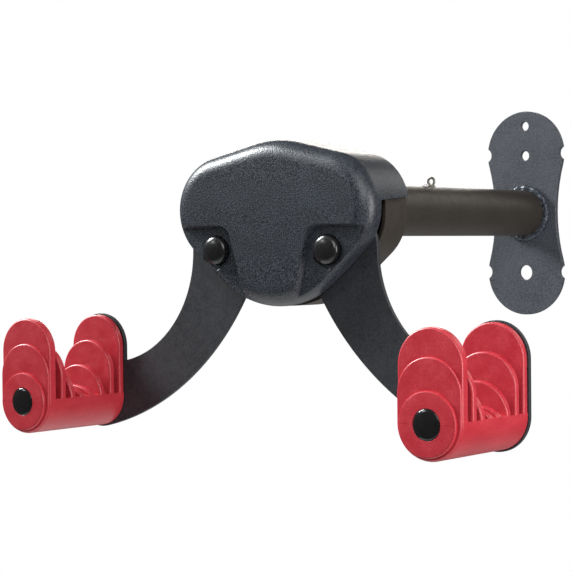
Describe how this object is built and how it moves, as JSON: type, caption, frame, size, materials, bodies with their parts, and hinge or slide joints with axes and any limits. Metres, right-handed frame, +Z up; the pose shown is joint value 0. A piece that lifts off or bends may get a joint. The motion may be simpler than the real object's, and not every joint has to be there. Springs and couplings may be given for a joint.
{
  "type": "bike wall rack",
  "caption": "Wall rack for a bicycle: a steel tube on a wall plate carries a covered head with folding arms that end in stepped plastic cradles for the top tube.",
  "frame": {"origin": "centre of the wall plate's back face, on the tube's axis", "axes": "+Y into the wall, along the tube; +Z up; +X to the right seen from the front"},
  "size_m": [0.3898, 0.4279, 0.2444],
  "materials": {
    "plate_steel": "dark grey powder coat with a fine grain",
    "tube_steel": "satin black paint on steel",
    "arm_steel": "black powder coat with a fine grain",
    "weld": "painted weld bead, uneven and shiny",
    "cover_plastic": "black moulded plastic with a fine texture",
    "cap_plastic": "glossy black plastic",
    "cradle_plastic": "satin red moulded plastic",
    "zinc_steel": "bright zinc-plated steel",
    "fibre": "brown friction fibre"
  },
  "bodies": {
    "root": {"wall_plate": "plate_steel", "wall_tube": "tube_steel", "wall_weld_bead": "weld", "head_spigot": "zinc_steel", "spigot_weld_bead": "weld", "ring_pin": "zinc_steel", "stop_screw": "zinc_steel", "head_bracket": "tube_steel", "front_cover": "cover_plastic", "cover_screw_upper_left": "zinc_steel", "cover_screw_upper_right": "zinc_steel", "cover_screw_lower": "zinc_steel", "left_pivot_nut": "zinc_steel", "left_pivot_back_washer": "zinc_steel", "left_pivot_spacer": "zinc_steel", "left_pivot_back_friction_washer": "fibre", "left_pivot_front_friction_washer": "fibre", "left_pivot_front_washer": "zinc_steel", "left_pivot_lock_washer": "zinc_steel", "left_pivot_bolt": "zinc_steel", "left_pivot_cap": "cap_plastic", "right_pivot_nut": "zinc_steel", "right_pivot_back_washer": "zinc_steel", "right_pivot_spacer": "zinc_steel", "right_pivot_back_friction_washer": "fibre", "right_pivot_front_friction_washer": "fibre", "right_pivot_front_washer": "zinc_steel", "right_pivot_lock_washer": "zinc_steel", "right_pivot_bolt": "zinc_steel", "right_pivot_cap": "cap_plastic"},
    "left_arm": {"left_arm_plate": "arm_steel", "left_cradle": "cradle_plastic", "left_cradle_bolt": "zinc_steel", "left_cradle_bolt_washer": "zinc_steel", "left_cradle_plug": "cap_plastic", "left_cradle_nut_washer": "zinc_steel", "left_cradle_nut": "zinc_steel"},
    "right_arm": {"right_arm_plate": "arm_steel", "right_cradle": "cradle_plastic", "right_cradle_bolt": "zinc_steel", "right_cradle_bolt_washer": "zinc_steel", "right_cradle_plug": "cap_plastic", "right_cradle_nut_washer": "zinc_steel", "right_cradle_nut": "zinc_steel"}
  },
  "joints": [
    {"name": "left_arm_fold", "type": "hinge", "parent": "root", "child": "left_arm", "pos_m": [-0.0479, -0.342, -0.0285], "axis": [0, -1, 0], "range_deg": [-30, 45]},
    {"name": "right_arm_fold", "type": "hinge", "parent": "root", "child": "right_arm", "pos_m": [0.0479, -0.342, -0.0285], "axis": [0, 1, 0], "range_deg": [-30, 45]}
  ]
}
